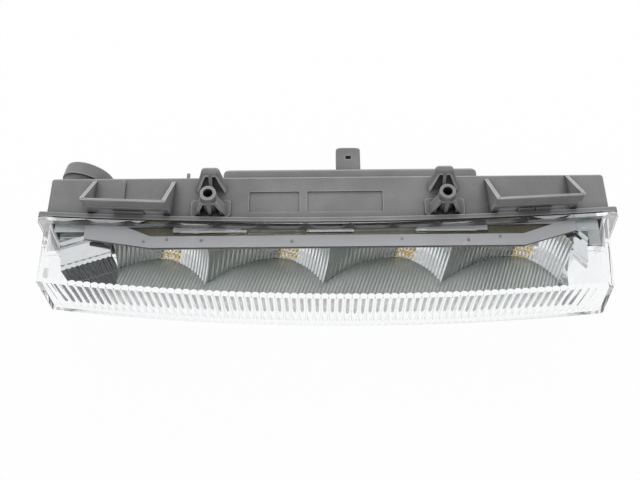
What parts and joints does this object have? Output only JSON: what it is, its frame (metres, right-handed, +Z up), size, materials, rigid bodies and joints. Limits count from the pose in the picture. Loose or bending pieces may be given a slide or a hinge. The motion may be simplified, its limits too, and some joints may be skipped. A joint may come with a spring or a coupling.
{
  "type": "daytime running light",
  "caption": "Slim car daytime running light: clear fluted lens over mirrored bowls, grey plastic housing with screw bosses, hook pockets and a plug socket.",
  "frame": {"origin": "middle of the two screw holes, on the top faces of their bosses", "axes": "+X along the lamp to the right as seen from the front, +Y to the back, away from the lens, +Z up out of the screw bosses"},
  "size_m": [0.304, 0.0914, 0.0615],
  "materials": {
    "housing_grey": "fine spark texture, mid grey",
    "clear_lens": "clear polished polycarbonate",
    "seal_black": "matt black sealing bead",
    "aluminised": "vacuum aluminised mirror on moulded plastic",
    "sink_metal": "satin stamped aluminium",
    "board_olive": "olive solder mask",
    "package_white": "white moulded package",
    "phosphor_yellow": "yellow phosphor layer",
    "screw_steel": "zinc plated",
    "pin_brass": "tin plated brass",
    "cap_grey": "fine spark texture, mid grey",
    "membrane_white": "white breathing film",
    "board_green": "green solder mask",
    "ferrite_black": "dark ferrite",
    "can_aluminium": "plain can",
    "chip_black": "black moulding",
    "header_white": "natural nylon",
    "lead_red": "red insulation",
    "lead_black": "black insulation"
  },
  "bodies": {
    "root": {"housing": "housing_grey", "lens": "clear_lens", "lens_seal": "seal_black", "reflector": "aluminised", "bezel": "aluminised", "heat_sink": "sink_metal", "led_board": "board_olive", "led_packages": "package_white", "led_phosphors": "phosphor_yellow", "board_screws": "screw_steel", "sink_screws": "screw_steel", "rear_cover": "housing_grey", "cover_seal": "seal_black", "cover_screws": "screw_steel", "terminal_pins": "pin_brass", "breather_cap": "cap_grey", "breather_membrane": "membrane_white", "driver_board": "board_green", "inductor": "ferrite_black", "capacitors": "can_aluminium", "driver_chips": "chip_black", "driver_header": "header_white", "board_header": "header_white", "supply_lead": "lead_red", "return_lead": "lead_black"}
  },
  "joints": []
}
